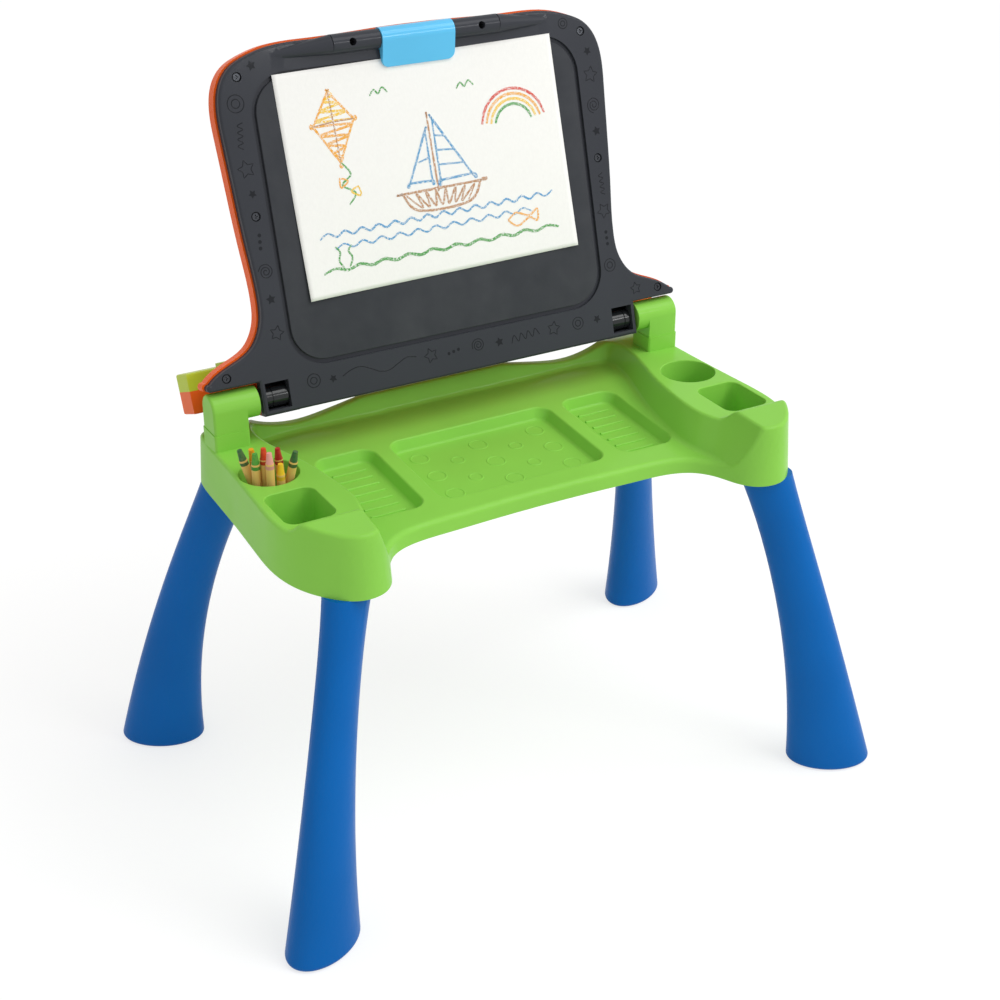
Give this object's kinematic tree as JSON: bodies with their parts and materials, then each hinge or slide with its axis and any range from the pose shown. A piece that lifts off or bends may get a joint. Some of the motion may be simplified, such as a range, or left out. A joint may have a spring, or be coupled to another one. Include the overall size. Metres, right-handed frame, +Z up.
{
  "type": "kids learning table",
  "caption": "Children's table on splayed legs: a moulded tray with cups and pockets, and a hinged lid that is a chalkboard easel when open and a desk with a control console when closed.",
  "frame": {"origin": "on the floor, under the middle of the overall box", "axes": "+X to the right, +Y to the back, +Z up; the lid stands open"},
  "size_m": [0.6836, 0.4526, 0.7316],
  "materials": {
    "green_plastic": "satin",
    "blue_plastic": "satin",
    "steel": "bright",
    "black_plastic": "fine grain",
    "chalk_surface": "matt",
    "orange_plastic": "satin",
    "lime_plastic": "satin",
    "desk_surface": "matt",
    "paper": "drawn with crayon",
    "sky_plastic": "gloss",
    "board_resin": "matt",
    "grey_rubber": "matt",
    "speaker_black": "matt",
    "cell_jacket": "satin",
    "white_plastic": "satin",
    "button_yellow": "gloss",
    "button_pink": "gloss",
    "button_blue": "gloss",
    "button_red": "gloss",
    "crayon_dark_green": "wax with paper sleeve",
    "crayon_orange": "wax with paper sleeve",
    "crayon_green": "wax with paper sleeve",
    "crayon_red_orange": "wax with paper sleeve",
    "crayon_dark_red": "wax with paper sleeve",
    "crayon_pink": "wax with paper sleeve",
    "crayon_yellow": "wax with paper sleeve"
  },
  "bodies": {
    "base": {"tray_shell": "green_plastic", "hinge_post_left": "green_plastic", "hinge_pin_left": "steel", "hinge_drum_left": "black_plastic", "leg_front_left": "blue_plastic", "leg_rear_left": "blue_plastic", "hinge_post_right": "green_plastic", "hinge_pin_right": "steel", "hinge_drum_right": "black_plastic", "leg_front_right": "blue_plastic", "leg_rear_right": "blue_plastic", "leg_screws": "steel", "post_screws": "steel", "crayon_1": "crayon_dark_green", "crayon_2": "crayon_orange", "crayon_3": "crayon_green", "crayon_4": "crayon_red_orange", "crayon_5": "crayon_dark_red", "crayon_6": "crayon_pink", "crayon_7": "crayon_yellow", "crayon_8": "crayon_dark_green"},
    "lid": {"board_frame": "black_plastic", "chalkboard_panel": "chalk_surface", "back_shell": "orange_plastic", "desk_panel": "desk_surface", "board_screws": "steel", "drawing_sheet": "paper", "clip_pin": "steel", "console_front": "lime_plastic", "console_rear": "orange_plastic", "circuit_board": "board_resin", "pcb_screws": "steel", "keypad": "grey_rubber", "speaker": "speaker_black", "selector_switch": "black_plastic", "battery_cells": "cell_jacket", "battery_contacts": "steel", "battery_door": "orange_plastic", "battery_door_screw": "steel"},
    "clip": {"paper_clip": "sky_plastic"},
    "knob": {"mode_knob": "orange_plastic"},
    "power_slider": {"power_switch": "white_plastic"},
    "volume_slider": {"volume_switch": "white_plastic"},
    "button_yellow": {"button_yellow": "button_yellow"},
    "button_pink": {"button_pink": "button_pink"},
    "button_blue": {"button_blue": "button_blue"},
    "button_red": {"button_red": "button_red"}
  },
  "joints": [
    {"name": "lid_hinge", "type": "hinge", "parent": "base", "child": "lid", "pos_m": [0, 0.0855, 0.416], "axis": [1, 0, 0], "range_deg": [0, 108.4]},
    {"name": "clip_pivot", "type": "hinge", "parent": "lid", "child": "clip", "pos_m": [0, 0.15434, 0.72145], "axis": [-1, 0, 0], "range_deg": [0, 40], "stiffness_Nm_per_rad": 0.08, "springref_deg": -20.05},
    {"name": "knob_turn", "type": "hinge", "parent": "lid", "child": "knob", "pos_m": [0.092, 0.13493, 0.43467], "axis": [0, -0.3789, -0.9255], "range_deg": [-75, 75]},
    {"name": "power_slide", "type": "slide", "parent": "lid", "child": "power_slider", "axis": [1, 0, 0], "range_m": [0, 0.01]},
    {"name": "volume_slide", "type": "slide", "parent": "lid", "child": "volume_slider", "axis": [1, 0, 0], "range_m": [0, 0.01]},
    {"name": "button_yellow_press", "type": "slide", "parent": "lid", "child": "button_yellow", "axis": [0, -0.3789, -0.9255], "range_m": [0, 0.0025], "stiffness_N_per_m": 400, "springref_m": -0.001},
    {"name": "button_pink_press", "type": "slide", "parent": "lid", "child": "button_pink", "axis": [0, -0.3789, -0.9255], "range_m": [0, 0.0025], "stiffness_N_per_m": 400, "springref_m": -0.001},
    {"name": "button_blue_press", "type": "slide", "parent": "lid", "child": "button_blue", "axis": [0, -0.3789, -0.9255], "range_m": [0, 0.0025], "stiffness_N_per_m": 400, "springref_m": -0.001},
    {"name": "button_red_press", "type": "slide", "parent": "lid", "child": "button_red", "axis": [0, -0.3789, -0.9255], "range_m": [0, 0.0025], "stiffness_N_per_m": 400, "springref_m": -0.001}
  ]
}
